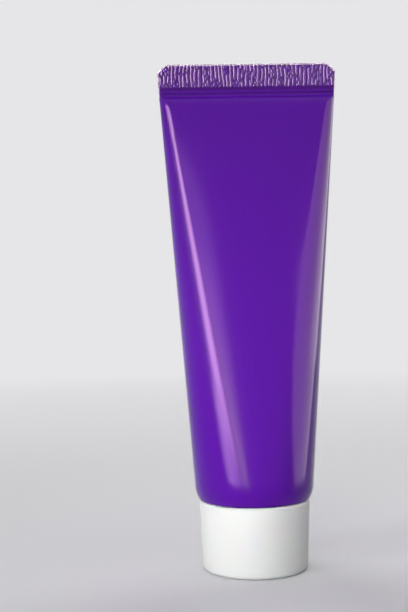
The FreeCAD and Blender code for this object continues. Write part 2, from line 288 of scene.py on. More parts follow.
# Injection-moulded white polypropylene with a fine spark-eroded satin.
POLYPROPYLENE = Coloured("WhitePolypropylene", "f1f1f1", 0.34, tint="f4f4f3", ior=1.49, grain_mm=0.35,
                         grain_depth_mm=0.002, cloud_mm=12.0, subsurface=0.12, subsurface_mm=1.2)
# Closed-cell polyethylene foam sheet: matt, with cells of a third of a millimetre.
FOAM = Coloured("WhiteFoamSheet", "e9e9e4", 0.8, tint="dededa", ior=1.45, grain_mm=0.3,
                grain_depth_mm=0.05, cloud_mm=2.0)
# Wet paste: smooth and faintly green-white.
PASTE = Coloured("WhitePaste", "e6efec", 0.22, tint="dbe8e5", ior=1.4, grain_mm=1.2,
                 grain_depth_mm=0.03, cloud_mm=6.0, subsurface=0.3, subsurface_mm=2.0)
# Rolled aluminium foil under a clear lacquer, heat-sealed to the orifice: a streaked gloss.
MEMBRANE = LacqueredFoil("LacqueredAluminium", "d9dade", 0.28, line_mm=0.12)


def mesh_object(name: str, points: np.ndarray, blocks: list[np.ndarray],
                material: bpy.types.Material, crease_deg: float | None = None) -> bpy.types.Object:
    """Make a mesh object from points and blocks of faces.

    Args:
        name: the piece's name.
        points: array of shape (n, 3).
        blocks: integer arrays of shape (faces, corners), one per number of corners.
        material: the piece's finish.
        crease_deg: edges that turn by more than this stay sharp. None smooths all.

    Returns:
        The object, linked to the scene.
    """
    corners = np.concatenate([block.ravel() for block in blocks]).astype(np.int32)
    counts = np.concatenate([np.full(len(block), block.shape[1]) for block in blocks])
    starts = np.concatenate([[0], np.cumsum(counts)[:-1]]).astype(np.int32)
    mesh = bpy.data.meshes.new(name)
    mesh.vertices.add(len(points))
    mesh.vertices.foreach_set("co", np.ascontiguousarray(points, np.float32).ravel())
    mesh.loops.add(len(corners))
    mesh.loops.foreach_set("vertex_index", corners)
    mesh.polygons.add(len(counts))
    mesh.polygons.foreach_set("loop_start", starts)
    mesh.update(calc_edges=True)
    mesh.validate()
    mesh.shade_smooth()
    if crease_deg is not None:
        mesh.set_sharp_from_angle(angle=math.radians(crease_deg))
    mesh.materials.append(material)
    piece = bpy.data.objects.new(name, mesh)
    bpy.context.scene.collection.objects.link(piece)
    return piece


def grid_quads(index: np.ndarray, closed: bool) -> np.ndarray:
    """Quads between neighbouring rows and columns of an index grid.

    Args:
        index: vertex numbers of shape (rows, columns), columns counter-clockwise.
        closed: whether the last column meets the first.

    Returns:
        Array of shape (quads, 4) that faces outwards for rows that climb.
    """
    following = np.roll(index, -1, axis=1) if closed else index[:, 1:]
    here = index if closed else index[:, :-1]
    corners = (here[:-1], following[:-1], following[1:], here[1:])
    return np.stack([corner.ravel() for corner in corners], axis=1)


def smooth_step(low: float, high: float, value: np.ndarray) -> np.ndarray:
    """Ease from 0 at low to 1 at high with level ends."""
    share = np.clip((value - low) / (high - low), 0, 1)
    return share * share * (3 - 2 * share)


def swell(value: np.ndarray, middle: float, half: float) -> np.ndarray:
    """Bell curve that is 1 at the middle and 1/e at half to each side of it."""
    return np.exp(-(((value - middle) / half) ** 2))


def tuck(below: np.ndarray, depth: float, inset: float) -> np.ndarray:
    """How far in the turned-in foot is below its top: an upright arc that is inset in at depth."""
    arc = (inset ** 2 + depth ** 2) / (2 * inset)
    return arc - np.sqrt(arc ** 2 - below ** 2)


def numbers(grid: np.ndarray, start: int = 0) -> np.ndarray:
    """Vertex numbers of a grid of points of shape (rows, columns, 3), counted from start."""
    return start + np.arange(grid.shape[0] * grid.shape[1]).reshape(grid.shape[:2])


class Ripple:
    """A smooth, seeded, wandering field: a sum of plane waves, cos(a x + b z + c)."""

    WAVES = 9

    def __init__(self, seed: int, length_x: float, length_z: float) -> None:
        """Choose the waves.

        Args:
            seed: makes the field the same each time.
            length_x: typical wavelength along the first coordinate.
            length_z: typical wavelength along the second coordinate.
        """
        chance = np.random.default_rng(seed)
        self.turn_x = chance.normal(0, 2 * math.pi / length_x, self.WAVES)
        self.turn_z = chance.normal(0, 2 * math.pi / length_z, self.WAVES)
        self.phase = chance.uniform(0, 2 * math.pi, self.WAVES)

    def __call__(self, x: np.ndarray, z: np.ndarray) -> np.ndarray:
        """The field at x and z, about -1 to 1."""
        waves = zip(self.turn_x, self.turn_z, self.phase)
        return sum(np.cos(a * x + b * z + c) for a, b, c in waves) / math.sqrt(self.WAVES)


class Side(Enum):
    """The four stretches of a section, in the order in which columns run."""

    FRONT = 0
    RIGHT = 1
    BACK = 2
    LEFT = 3


class Columns:
    """The columns of the sleeve's grid, counter-clockwise seen from above."""

    def __init__(self, face_shares: np.ndarray, end_steps: int) -> None:
        """Lay the columns out.

        Args:
            face_shares: places across a flat face, from -1 at one end to 1 at the other.
            end_steps: number of steps round each rounded end, denser next to the faces.
        """
        self.faces = len(face_shares) - 1
        even = np.linspace(0, 1, end_steps + 1)[1:-1]
        ends = (even + (1 - np.cos(math.pi * even)) / 2) / 2
        self.end_share = ends
        self.share = np.concatenate([face_shares, ends, face_shares, ends])
        counts = (len(face_shares), len(ends), len(face_shares), len(ends))
        self.side = np.repeat([side.value for side in Side], counts)
        self.on_face = np.isin(self.side, (Side.FRONT.value, Side.BACK.value))
        self.toward = np.where(self.side >= Side.BACK.value, -1, 1)

    def start(self, side: Side) -> int:
        """Number of the first column of a side."""
        return int(np.argmax(self.side == side.value))


@dataclass
class SleeveSizes:
    """Sizes of the sleeve, worked out from the frame and from named real sizes.

    The crown is the angle at which a face meets its round ends. The facets are flattened
    bands beside the ends, by their angle round the end and their share of the height.
    """

    foot_inset: float = 1.1 * MM
    seal_edge_half: float = 0.6 * MM
    crown_foot_deg: float = 9.0
    crown_seal_deg: float = 0.12
    crown_power: float = 4.0
    gather_power: float = 100.0
    facet_lean_deg: float = 20.5
    facet_half_deg: float = 10.0
    facet_from: float = 0.80
    facet_to: float = 0.97
    band_height: float = 2.8 * MM
    corner_across: float = 2.8 * MM
    corner_down: float = 2.1 * MM
    corner_power: float = 1.35
    top_round: float = 0.4 * MM

    def __post_init__(self) -> None:
        """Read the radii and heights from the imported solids."""
        sleeve_low, sleeve_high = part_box("tube_sleeve")
        nozzle_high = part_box("shoulder_nozzle")[1]
        paste_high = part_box("toothpaste")[1]
        self.edge = sleeve_low.z
        self.top = sleeve_high.z
        self.seal_top_half = sleeve_high.x
        self.radius = sleeve_high.y
        self.foot_top = nozzle_high.z
        self.wall = sleeve_high.y - nozzle_high.x
        self.seal_low = paste_high.z
        self.seal_half = paste_high.x + self.wall
        self.ribs_low = self.seal_low + self.band_height


@dataclass
class SealRelief:
    """What the sealing jaws press into the tail.

    From below, that is a raised edge, two grooves with a bead between, and narrow ribs.
    The edge and the bead are measured from the seal's lower end, and the blobs from the
    ribs' own. The sway and the flanks of the ribs are in pitches. The tilt makes them
    stand out more towards +X, as a share for each metre.
    """

    sizes: SleeveSizes
    valley_half: float = 0.34 * MM
    edge_from: float = 0.35 * MM
    edge_to: float = 0.7 * MM
    bead_height: float = 1.5 * MM
    bead_half: float = 0.3 * MM
    bead_uneven: float = 0.15
    band_sway: float = 0.05 * MM
    rib_pitch: float = 1.15 * MM
    rib_relief: float = 0.16 * MM
    rib_tilt: float = 6.5
    rib_uneven: float = 0.08
    rib_sway: float = 0.16
    rib_left: float = 0.35
    rib_right: float = 0.26
    rib_start: float = 0.25 * MM
    fork_from: float = 0.4
    fork_to: float = 0.85
    fork_loss: float = 0.9
    blob_height: float = 0.3 * MM
    blob_half: float = 0.24 * MM
    blob_power: float = 0.6
    # How far up from the valleys the painted shade fades out, as a share of the seal's raised height.
    dark_below: float = 0.45

    def __post_init__(self) -> None:
        """Seed the small irregularities."""
        self.sway = Ripple(seed=3, length_x=9 * MM, length_z=5 * MM)
        self.fork = Ripple(seed=11, length_x=3.4 * MM, length_z=3.0 * MM)
        self.height = Ripple(seed=19, length_x=2.2 * MM, length_z=2.6 * MM)
        self.dash = Ripple(seed=23, length_x=1.3 * MM, length_z=40 * MM)

    def ridge(self, turns: np.ndarray) -> np.ndarray:
        """Ridges with straight flanks, one a turn: 1 on top and 0 between."""
        away = turns - np.round(turns)
        return np.clip(np.minimum(1 + away / self.rib_left, 1 - away / self.rib_right), 0, 1)

    def ribs(self, x: np.ndarray, z: np.ndarray) -> np.ndarray:
        """Pressed ribs of the seal, 0 in a valley and 1 on a crest.

        One narrow ridge a pitch, whose phase sways with height. Where the fork field is
        high a second set takes over, whose ridges lie in the valleys of the first, so
        ribs split, bow and join. Each rib ends at the bottom in a wider blob.

        Args:
            x: places along the seal.
            z: heights of the same points.

        Returns:
            Array of their shape.
        """
        turns = x / self.rib_pitch + self.rib_sway * self.sway(x, z)
        first = self.ridge(turns)
        second = self.ridge(turns + 0.5)
        split = smooth_step(self.fork_from, self.fork_to, self.fork(x, z))
        crest = np.maximum(first * (1 - self.fork_loss * split), second * split)
        crest *= (1 - self.rib_uneven + self.rib_uneven * self.height(x, z)) * (1 + self.rib_tilt * x)
        above = z - self.sizes.ribs_low
        blob = swell(above, self.blob_height, self.blob_half) * first ** self.blob_power
        return np.maximum(crest, blob) * smooth_step(0.0, self.rib_start, above)

    def depth(self, x: np.ndarray, z: np.ndarray) -> np.ndarray:
        """Half thickness of the seal: the valleys' own, and what stands up from them.

        Args:
            x: places along the seal.
            z: heights of the same points.

        Returns:
            Array of their shape.
        """
        above = z - self.sizes.seal_low + self.band_sway * self.sway(x, 0 * z)
        edge = 1 - smooth_step(self.edge_from, self.edge_to, above)
        dashes = 1 - self.bead_uneven + self.bead_uneven * self.dash(x, z)
        bead = swell(above, self.bead_height, self.bead_half) * dashes
        raised = (self.sizes.seal_edge_half - self.valley_half) * np.clip(edge + bead, 0, 1)
        return self.valley_half + raised + self.rib_relief * self.ribs(x, z)

    def painted_groove_shade(self, points: np.ndarray) -> np.ndarray:
        """Painted shade at each point of the seal: 0 at its full thickness and 1 in the deepest grooves
        and valleys.
        """
        full = self.sizes.seal_edge_half - self.valley_half
        return 1 - smooth_step(0.0, self.dark_below, (np.abs(points[..., 1]) - self.valley_half) / full)


class SleeveSurface:
    """The formula of the sleeve's skin, as arrays over rows and columns."""

    def __init__(self, sizes: SleeveSizes) -> None:
        """Keep the sizes, and the relief of the seal."""
        self.sizes = sizes
        self.relief = SealRelief(sizes)

    def facet(self, share: np.ndarray, lean: np.ndarray, crown: np.ndarray) -> np.ndarray:
        """Share of an end arc's radius that its flattened bands leave.

        Towards the seal the film bends in folds, not in a curve: on each side of an end, a
        chord takes the place of the arc from facet_half below facet_lean to as much above.

        Args:
            share: column of shares of the way, 0 at the foot and 1 at the seal.
            lean: angle of each point round the end, from the front to the back.
            crown: angle at which the end arc starts.

        Returns:
            Factors of shape (rows, columns).
        """
        sizes = self.sizes
        half = math.radians(sizes.facet_half_deg) * smooth_step(sizes.facet_from, sizes.facet_to, share)
        middle = np.maximum(math.radians(sizes.facet_lean_deg), crown + half)
        off = np.minimum(lean, math.pi - lean) - middle
        return np.where(np.abs(off) < half, np.cos(half) / np.cos(np.minimum(np.abs(off), half)), 1.0)

    def oval(self, share: np.ndarray, columns: Columns, less: float) -> tuple[np.ndarray, np.ndarray]:
        """Section between the round foot and the flat seal.

        Four tangent arcs. The half width grows in a straight line with share. The girth
        stays as it is until just under the seal, where a high power of share gathers it.
        The angle where the arcs meet shrinks to almost nothing with a lower power, so
        that the end arcs are near to cones and the faces go flat at the seal.

        Args:
            share: column of shares of the way, 0 at the foot and 1 at the seal.
            columns: the grid's columns.
            less: wall taken off all round.

        Returns:
            x and y of shape (rows, columns).
        """
        sizes = self.sizes
        half = sizes.radius + (sizes.seal_half - sizes.radius) * share
        crown = sizes.crown_foot_deg * (1 - share ** sizes.crown_power) + sizes.crown_seal_deg
        angle = np.radians(crown)
        edge = sizes.seal_edge_half
        girth_foot = 2 * math.pi * sizes.radius
        girth_seal = 2 * math.pi * edge + 4 * (sizes.seal_half - edge)
        girth = girth_foot + (girth_seal - girth_foot) * share ** sizes.gather_power
        spread = (2 * math.pi * half - girth) / (2 * math.pi * np.sin(angle) - 4 * angle)
        centre = spread * np.sin(angle)
        end_radius = half - centre - less
        across = columns.share[None, :]
        face = across * angle
        face_x = (end_radius + spread) * np.sin(face)
        face_y = (end_radius + spread) * np.cos(face) - spread * np.cos(angle)
        round_end = angle + across * (math.pi - 2 * angle)
        end_reach = end_radius * self.facet(share, round_end, angle)
        end_x = centre + end_reach * np.sin(round_end)
        end_y = end_reach * np.cos(round_end)
        where = [columns.side[None, :] == side.value for side in Side]
        x = np.select(where, [face_x, end_x, -face_x, -end_x])
        y = np.select(where, [-face_y, -end_y, face_y, end_y])
        return x, y

    def body(self, heights: np.ndarray, columns: Columns, less: float) -> np.ndarray:
        """Points of the sleeve from its turned-in foot to the seal.

        Under the foot's top, the circle shrinks along an arc that is upright at the top.

        Args:
            heights: heights of the rows, from low to high.
            columns: the grid's columns.
            less: wall taken off all round.

        Returns:
            Array of shape (rows, columns, 3).
        """
        sizes = self.sizes
        share = np.clip((heights - sizes.foot_top) / (sizes.seal_low - sizes.foot_top), 0, 1)[:, None]
        x, y = self.oval(share, columns, less)
        depth = sizes.foot_top - sizes.edge
        below = np.clip(sizes.foot_top - heights, 0, depth)[:, None]
        scale = 1 - tuck(below, depth, sizes.foot_inset) / (sizes.radius - less)
        z = np.broadcast_to(heights[:, None], x.shape)
        return np.stack([x * scale, y * scale, z], axis=2)

    def seal(self, rows_band: np.ndarray, rows_ribs: np.ndarray, columns: Columns) -> np.ndarray:
        """Points of the seal above the sleeve's last oval.

        Args:
            rows_band: heights of the rows of the smooth band.
            rows_ribs: shares of the ribbed band's height, over 0 to 1.
            columns: the grid's columns.

        Returns:
            Array of shape (rows, columns, 3).
        """
        sizes = self.sizes
        toward = columns.toward
        share = np.where(columns.on_face, columns.share * toward, toward)
        start = (sizes.seal_top_half - sizes.corner_across) / sizes.seal_top_half
        inside = np.clip((np.abs(share) - start) / (1 - start), 0, 1)
        power = sizes.corner_power
        drop = sizes.corner_down * (1 - (1 - inside ** power) ** (1 / power))
        top = sizes.top - sizes.top_round - drop
        heights = np.concatenate([
            np.broadcast_to(rows_band[:, None], (len(rows_band), len(share))),
            sizes.ribs_low + rows_ribs[:, None] * (top - sizes.ribs_low)[None, :],
        ])
        rise = (heights - sizes.seal_low) / (sizes.top - sizes.seal_low)
        half = sizes.seal_half + (sizes.seal_top_half - sizes.seal_half) * rise
        centre = half - sizes.seal_edge_half
        face_x = share[None, :] * centre
        face_y = -toward * self.relief.depth(face_x, heights)
        round_end = columns.share[None, :] * math.pi
        end_x = toward * (centre + sizes.seal_edge_half * np.sin(round_end))
        end_y = face_y * np.cos(round_end)
        x = np.where(columns.on_face, face_x, end_x)
        y = np.where(columns.on_face, face_y, end_y)
        return np.stack([x, y, heights], axis=2)


class Part:
    """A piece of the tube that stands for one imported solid."""

    NAME: str
    NODE: str
    BODY: str
    SLOT: str
    FINISH: Finish
    CREASE_DEG: float

    def shape(self) -> Shape:
        """Work out the piece's points and faces."""
        raise NotImplementedError

    def build(self) -> bpy.types.Object:
        """Make the piece in its finish."""
        points, blocks = self.shape()
        return mesh_object(self.NAME, points, blocks, self.FINISH.build(), self.CREASE_DEG)

    def dress(self) -> bpy.types.Object:
        """Build the piece, let it stand for its solid and ride on its body.

        Returns:
            The finished piece.
        """
        piece = self.build()
        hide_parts(self.NODE)
        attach(piece, self.BODY)
        return piece


class Sleeve(Part):
    """The laminate sleeve as one closed shell: outer skin, seal, foot edge and inner skin.

    The wall has coarse columns and the seal fine ones, several to each coarse one. The
    film's pale cut edge, partly a painted highlight, shows over TIP_SHARE to each side of an
    end's middle, and POLISH is the weight of the clear coat that the jaws leave on the ribbed rows.
    """

    NAME = "Sleeve"
    NODE = "tube_sleeve"
    BODY = "tube"
    SLOT = "sleeve_purple"
    FINISH = LAMINATE
    CREASE_DEG = 50.0
    COARSE_FACE = 78
    FINE_PER_COARSE = 6
    END_STEPS = 32
    CORNER_REACH = 3
    CORNER_PULL = 0.3
    FOOT_ROWS = 9
    WALL_ROWS = 60
    WALL_EASE = 1.6
    LAST_ROWS = 9
    BAND_ROWS = 19
    RIB_ROWS = 29
    JOIN_BELOW_SEAL = 2.0 * MM
    TIP_SHARE = 0.25
    POLISH = 0.22

    def __init__(self, sizes: SleeveSizes) -> None:
        """Lay out the coarse and the fine columns.

        Args:
            sizes: the sleeve's sizes.
        """
        self.sizes = sizes
        self.surface = SleeveSurface(sizes)
        self.fine = Columns(self.face_shares(), self.END_STEPS)
        self.coarse = Columns(self.face_shares()[::self.FINE_PER_COARSE], self.END_STEPS)
        self.marks: dict[str, np.ndarray] = {}

    def face_shares(self) -> np.ndarray:
        """Places across a face: even in the middle and denser round the seal's corners.

        Returns:
            Shares from -1 to 1, one for each fine column.
        """
        even = np.linspace(-1, 1, self.COARSE_FACE * self.FINE_PER_COARSE + 1)
        corner = self.sizes.corner_across / self.sizes.seal_top_half
        pull = smooth_step(1 - self.CORNER_REACH * corner, 1, np.abs(even))
        return np.sign(even) * (np.abs(even) + pull * self.CORNER_PULL * (1 - np.abs(even)))

    def join_rows(self, low: int, high: int) -> list[np.ndarray]:
        """Faces between the last coarse row and the first fine row.

        Each coarse face column spans six fine ones, so its face has nine corners.

        Args:
            low: number of the coarse row's first vertex.
            high: number of the fine row's first vertex.

        Returns:
            Blocks of faces.
        """
        wide = []
        quads = []
        step = self.FINE_PER_COARSE
        for face, end in ((Side.FRONT, Side.RIGHT), (Side.BACK, Side.LEFT)):
            under = low + self.coarse.start(face) + np.arange(self.coarse.faces)
            over = high + self.fine.start(face) + step * np.arange(self.coarse.faces)
            wide.append(np.stack([under, under + 1] + [over + k for k in range(step, -1, -1)], axis=1))
            steps = np.arange(self.END_STEPS)
            total_low = len(self.coarse.share)
            total_high = len(self.fine.share)
            first_low = self.coarse.start(end) - 1
            first_high = self.fine.start(end) - 1
            under = low + (first_low + steps) % total_low
            under_next = low + (first_low + steps + 1) % total_low
            over = high + (first_high + steps) % total_high
            over_next = high + (first_high + steps + 1) % total_high
            quads.append(np.stack([under, under_next, over_next, over], axis=1))
        return [np.concatenate(wide), np.concatenate(quads)]

    def close_top(self, row: int, points: np.ndarray, number: int) -> tuple[np.ndarray, np.ndarray]:
        """Rounded edge along the top of the seal, from the front face over to the back.

        Args:
            row: number of the top row's first vertex.
            points: the top row's points, of shape (columns, 3).
            number: number that the first new vertex gets.

        Returns:
            New points of shape (n, 3), and quads.
        """
        columns = self.fine
        faces = columns.faces
        front = columns.start(Side.FRONT) + np.arange(faces + 1)
        back = columns.start(Side.BACK) + faces - np.arange(faces + 1)
        right = columns.start(Side.RIGHT) + np.arange(self.END_STEPS - 1)
        left = columns.start(Side.LEFT) + self.END_STEPS - 2 - np.arange(self.END_STEPS - 1)
        turn = math.pi * columns.end_share[:, None]
        inner = slice(1, faces)
        front_points = points[front[inner]]
        back_points = points[back[inner]]
        x = np.broadcast_to(front_points[:, 0], (len(turn), faces - 1))
        blend = (1 - np.cos(turn)) / 2
        y = front_points[:, 1] * (1 - blend) + back_points[:, 1] * blend
        z = front_points[:, 2] + self.sizes.top_round * np.sin(turn)
        over = np.stack([x, y, z], axis=2)
        index = np.empty((self.END_STEPS + 1, faces + 1), int)
        index[0] = row + front
        index[-1] = row + back
        index[1:-1, -1] = row + right
        index[1:-1, 0] = row + left
        index[1:-1, inner] = numbers(over, number)
        return over.reshape(-1, 3), grid_quads(index, closed=False)

    def close_inside(self, row: int) -> list[np.ndarray]:
        """Faces that close the narrow end of the cavity, between its two faces.

        Args:
            row: number of the cavity's top row's first vertex.

        Returns:
            Blocks of faces that look down into the cavity.
        """
        columns = self.coarse
        front = row + columns.start(Side.FRONT) + np.arange(columns.faces + 1)
        back = row + columns.start(Side.BACK) + columns.faces - np.arange(columns.faces + 1)
        strip = np.stack([front[:-1], back[:-1], back[1:], front[1:]], axis=1)
        total = len(columns.share)
        ends = []
        for side in (Side.RIGHT, Side.LEFT):
            around = (columns.start(side) - 1 + np.arange(self.END_STEPS + 1)) % total
            ends.append(row + around[::-1])
        return [strip, np.stack(ends)]

    def shape(self) -> Shape:
        """Join the outer skin, the seal, the foot's cut edge and the inner skin.

        The wall's rows get closer towards the seal. On the way, the marks of the vertices are
        worked out: the pale cut edge that is partly a painted highlight, the painted shade in the
        grooves, and how it is polished.

        Returns:
            Points and blocks of faces.
        """
        sizes = self.sizes
        foot = np.linspace(sizes.edge, sizes.foot_top, self.FOOT_ROWS)
        join = sizes.seal_low - self.JOIN_BELOW_SEAL
        even = np.linspace(0, 1, self.WALL_ROWS)[1:]
        rise = sizes.foot_top + (join - sizes.foot_top) * (1 - (1 - even) ** self.WALL_EASE)
        last = np.linspace(join, sizes.seal_low, self.LAST_ROWS)[1:-1]
        band = np.linspace(sizes.seal_low, sizes.ribs_low, self.BAND_ROWS)
        outer = self.surface.body(np.concatenate([foot, rise]), self.coarse, 0.0)
        seal = self.surface.seal(band, np.linspace(0, 1, self.RIB_ROWS)[1:], self.fine)
        upper = np.concatenate([self.surface.body(last, self.fine, 0.0), seal])
        inner_rows = np.concatenate([foot, rise[::2], last[::2], [sizes.seal_low]])
        inner = self.surface.body(inner_rows, self.coarse, sizes.wall)

        outer_index = numbers(outer)
        upper_index = numbers(upper, outer_index.size)
        over_start = outer_index.size + upper_index.size
        over, over_quads = self.close_top(upper_index[-1, 0], upper[-1], over_start)
        inner_start = over_start + len(over)
        inner_index = numbers(inner, inner_start)
        blocks = [
            grid_quads(outer_index, closed=True),
            grid_quads(upper_index, closed=True),
            over_quads,
            grid_quads(inner_index[::-1], closed=True),
            grid_quads(np.stack([inner_index[0], outer_index[0]]), closed=True),
            *self.join_rows(outer_index[-1, 0], upper_index[0, 0]),
            *self.close_inside(inner_index[-1, 0]),
        ]
        points = np.concatenate([grid.reshape(-1, 3) for grid in (outer, upper, over, inner)])

        # Marks: the pale cut edge, partly a painted highlight; painted shade in the seal's grooves; the
        # polished coat.
        cut_and_highlight, painted_groove_shade, polished = np.zeros((3, len(points)), np.float32)
        seal_index = upper_index[len(last):]
        tip = ~self.fine.on_face & (np.abs(self.fine.share - 0.5) < self.TIP_SHARE)
        cut_and_highlight[seal_index[:, tip]] = 1.0
        cut_and_highlight[seal_index[-1]] = 1.0
        cut_and_highlight[over_start:inner_start] = 1.0
        painted_groove_shade[seal_index] = self.surface.relief.painted_groove_shade(seal)
        polished[seal_index[len(band):]] = self.POLISH
        self.marks = {CUT_EDGE_AND_HIGHLIGHT: cut_and_highlight, PAINTED_GROOVE_SHADE: painted_groove_shade, POLISHED: polished}
        return points, blocks

    def build(self) -> bpy.types.Object:
        """Make the sleeve and give its mesh the marks that its finish reads.

        Returns:
            The sleeve's object.
        """
        sleeve = super().build()
        for name, values in self.marks.items():
            mark = sleeve.data.attributes.new(name, "FLOAT", "POINT")
            mark.data.foreach_set("value", values)
        return sleeve


def rounded(corners: list[tuple[float, float, float]], steps: int = 5) -> np.ndarray:
    """Outline with its corners rounded by tangent arcs.

    Args:
        corners: radius, height and rounding radius of each corner, 0 for a sharp one.
        steps: segments in each arc.

    Returns:
        Array of shape (n, 2).
    """
    spots = np.array(corners, float)[:, :2]
    line = []
    for number, corner in enumerate(spots):
        radius = corners[number][2]
        if radius == 0:
            line.append(corner[None, :])
            continue
        before = spots[number - 1] - corner
        after = spots[(number + 1) % len(spots)] - corner
        before /= np.linalg.norm(before)
        after /= np.linalg.norm(after)
        half = math.acos(float(np.clip(before @ after, -1, 1))) / 2
        reach = radius / math.tan(half)
        middle = (before + after) / np.linalg.norm(before + after)
        centre = corner + middle * radius / math.sin(half)
        first = corner + before * reach - centre
        last = corner + after * reach - centre
        share = np.linspace(0, 1, steps + 1)[:, None]
        sweep = math.pi - 2 * half
        arc = (np.sin((1 - share) * sweep) * first + np.sin(share * sweep) * last) / math.sin(sweep)
        line.append(centre + arc)
    return np.concatenate(line)


def turned(line: np.ndarray, segments: int) -> Shape:
    """Solid of revolution of a closed outline that runs counter-clockwise.

    The outline's first and last points may lie on the axis, where the surface closes in
    a pole. Otherwise the outline closes on itself as a ring.

    Args:
        line: radius and height of each point, of shape (n, 2).
        segments: number of columns round the axis.

    Returns:
        Points and blocks of faces.
    """
    poles = line[0, 0] == 0
    rim = line[1:-1] if poles else line
    angle = np.linspace(0, 2 * math.pi, segments, endpoint=False)[None, :]
    x = rim[:, 0:1] * np.cos(angle)
    y = rim[:, 0:1] * np.sin(angle)
    grid = np.stack([x, y, np.broadcast_to(rim[:, 1:2], x.shape)], axis=2)
    points = grid.reshape(-1, 3)
    index = numbers(grid)
    if not poles:
        return points, [grid_quads(np.concatenate([index, index[:1]]), closed=True)]
    low, high = len(points), len(points) + 1
    ends = np.array([[0, 0, line[0, 1]], [0, 0, line[-1, 1]]])
    following = np.roll(index, -1, axis=1)
    under = np.stack([np.full(segments, low), following[0], index[0]], axis=1)
    over = np.stack([np.full(segments, high), index[-1], following[-1]], axis=1)
    return np.concatenate([points, ends]), [grid_quads(index, closed=True), under, over]


@dataclass
class Thread:
    """A right-hand thread ridge of rounded trapezoid section."""

    root: float
    crest: float
    low: float
    climb: float
    lead: float = 3.0 * MM
    root_width: float = 1.6 * MM
    crest_width: float = 0.8 * MM
    crest_round: float = 0.25 * MM
    fade_deg: float = 28.0
    least_reach: float = 0.02
    step_deg: float = 4.0

    def shape(self) -> Shape:
        """Sweep the section along a helix.

        The section runs from the root to the crest and back. Its reach fades to nothing
        over fade_deg at both ends, and its width to half, as a moulded thread runs out.

        Returns:
            Points and blocks of faces.
        """
        reach = abs(self.crest - self.root)
        inward = self.crest < self.root
        half_root = self.root_width / 2
        half_crest = self.crest_width / 2
        corners = [(0.0, -half_root, 0.0), (reach, -half_crest, self.crest_round),
                   (reach, half_crest, self.crest_round), (0.0, half_root, 0.0)]
        line = rounded(corners, steps=4)
        sweep = 2 * math.pi * self.climb / self.lead
        angle = np.linspace(0, sweep, int(math.degrees(sweep) / self.step_deg))[:, None]
        fade = math.radians(self.fade_deg)
        grow = smooth_step(0, fade, angle) * smooth_step(0, fade, sweep - angle)
        out = line[None, :, 0] * np.maximum(grow, self.least_reach)
        radius = self.root - out if inward else self.root + out
        z = self.low + self.lead * angle / (2 * math.pi) + line[None, :, 1] * (0.5 + 0.5 * grow)
        points = np.stack([radius * np.cos(angle), radius * np.sin(angle), z], axis=2)
        index = numbers(points)
        if inward:
            index = index[:, ::-1]
        ends = np.stack([index[0], index[-1][::-1]])
        return points.reshape(-1, 3), [grid_quads(index, closed=True), ends]


def joined(shapes: list[Shape]) -> Shape:
    """Put several shapes into one set of points and faces.

    Args:
        shapes: the shapes, each with vertex numbers of its own.

    Returns:
        Points and blocks of faces.
    """
    points = []
    blocks = []
    start = 0
    for own_points, own_blocks in shapes:
        points.append(own_points)
        blocks += [block + start for block in own_blocks]
        start += len(own_points)
    return np.concatenate(points), blocks


def block_shape(low: Vector, high: Vector) -> Shape:
    """A plain box, for ribs whose edges are buried in walls.

    Args:
        low: its lowest corner.
        high: its highest corner.

    Returns:
        Points and blocks of faces.
    """
    x = np.array([low.x, high.x, high.x, low.x] * 2)
    y = np.array([low.y, low.y, high.y, high.y] * 2)
    z = np.array([low.z] * 4 + [high.z] * 4)
    index = np.arange(len(z)).reshape(2, 4)
    lids = np.array([[3, 2, 1, 0], [4, 5, 6, 7]])
    return np.stack([x, y, z], axis=1), [grid_quads(index, closed=True), lids]


def turn_about_z(points: np.ndarray, angle: float) -> np.ndarray:
    """Points turned about the vertical axis."""
    cosine, sine = math.cos(angle), math.sin(angle)
    return points @ np.array([[cosine, sine, 0], [-sine, cosine, 0], [0, 0, 1]])


@dataclass
class NeckSizes:
    """Sizes that the nozzle, the cap's collar, the liner and the membrane share."""

    wall: float = 1.4 * MM
    shoulder_wall: float = 1.2 * MM
    shoulder_rise: float = 2.1 * MM
    orifice: float = 3.4 * MM
    orifice_wall: float = 1.2 * MM
    thread_reach: float = 1.0 * MM
    thread_clearance: float = 0.3 * MM
    thread_start: float = 1.8 * MM
    thread_stop: float = 3.4 * MM
    bury: float = 0.2 * MM
    membrane_margin: float = 0.2 * MM

    def __post_init__(self) -> None:
        """Read the neck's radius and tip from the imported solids."""
        membrane_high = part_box("foil_seal")[1]
        nozzle_low, nozzle_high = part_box("shoulder_nozzle")
        self.tip = nozzle_low.z
        self.radius = membrane_high.x + self.membrane_margin
        self.shoulder_top = nozzle_high.z
        self.shoulder_radius = nozzle_high.x
        self.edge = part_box("tube_sleeve")[0].z
        self.root = self.edge - self.shoulder_rise


